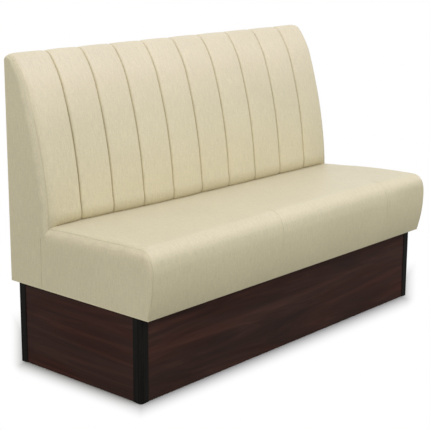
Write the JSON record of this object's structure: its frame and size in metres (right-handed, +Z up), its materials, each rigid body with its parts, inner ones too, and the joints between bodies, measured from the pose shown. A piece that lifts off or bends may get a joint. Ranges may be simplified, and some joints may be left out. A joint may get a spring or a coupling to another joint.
{
  "type": "restaurant booth seating",
  "caption": "Straight booth bench with an upholstered box seat, a high vertically channelled back that rolls over its top, and a dark boarded plinth with corner posts.",
  "frame": {"origin": "on the floor, under the middle of the whole bench", "axes": "+X along the bench, to the right of someone who faces it; -Y is the front of the seat; +Z up"},
  "size_m": [1.522, 0.672, 1.0501],
  "materials": {
    "upholstery_cloth": "matte",
    "upholstered_foam": "matte",
    "seat_foam": "matte",
    "black_webbing": "matte",
    "wenge_laminate": "satin",
    "plywood": "matte",
    "softwood": "matte",
    "corner_profile": "satin",
    "black_plastic": "matte",
    "zinc_steel": "satin"
  },
  "bodies": {
    "root": {"back_bolt_rail": "softwood", "back_channel_01": "upholstered_foam", "back_channel_02": "upholstered_foam", "back_channel_03": "upholstered_foam", "back_channel_04": "upholstered_foam", "back_channel_05": "upholstered_foam", "back_channel_06": "upholstered_foam", "back_channel_07": "upholstered_foam", "back_channel_08": "upholstered_foam", "back_channel_09": "upholstered_foam", "back_channel_10": "upholstered_foam", "back_foot_rail": "softwood", "back_front_skin": "plywood", "back_left_panel": "upholstered_foam", "back_middle_rail": "softwood", "back_rear_cover": "upholstery_cloth", "back_rear_skin": "plywood", "back_rib_1": "plywood", "back_rib_2": "plywood", "back_rib_3": "plywood", "back_rib_4": "plywood", "back_rib_5": "plywood", "back_right_panel": "upholstered_foam", "back_seat_rail": "softwood", "back_top_rail": "softwood", "corner_feet": "black_plastic", "corner_post_front_left": "corner_profile", "corner_post_front_right": "corner_profile", "corner_post_rear_left": "corner_profile", "corner_post_rear_right": "corner_profile", "divider_glides": "black_plastic", "plinth_cleat_front": "softwood", "plinth_cleat_middle": "softwood", "plinth_cleat_rear": "softwood", "plinth_divider_1": "plywood", "plinth_divider_2": "plywood", "plinth_front_board": "wenge_laminate", "plinth_left_board": "wenge_laminate", "plinth_rear_board": "wenge_laminate", "plinth_right_board": "wenge_laminate", "seat_corner_blocks": "softwood", "seat_cover": "upholstery_cloth", "seat_cross_rail_1": "softwood", "seat_cross_rail_2": "softwood", "seat_cross_rail_3": "softwood", "seat_dust_cover": "black_webbing", "seat_foam": "seat_foam", "seat_front_pad": "seat_foam", "seat_front_rail": "softwood", "seat_left_pad": "seat_foam", "seat_left_rail": "softwood", "seat_rear_rail": "softwood", "seat_right_pad": "seat_foam", "seat_right_rail": "softwood", "seat_webbing": "black_webbing", "unit_bolts": "zinc_steel", "unit_nuts": "zinc_steel", "unit_screws": "zinc_steel", "unit_washers": "zinc_steel"}
  },
  "joints": []
}
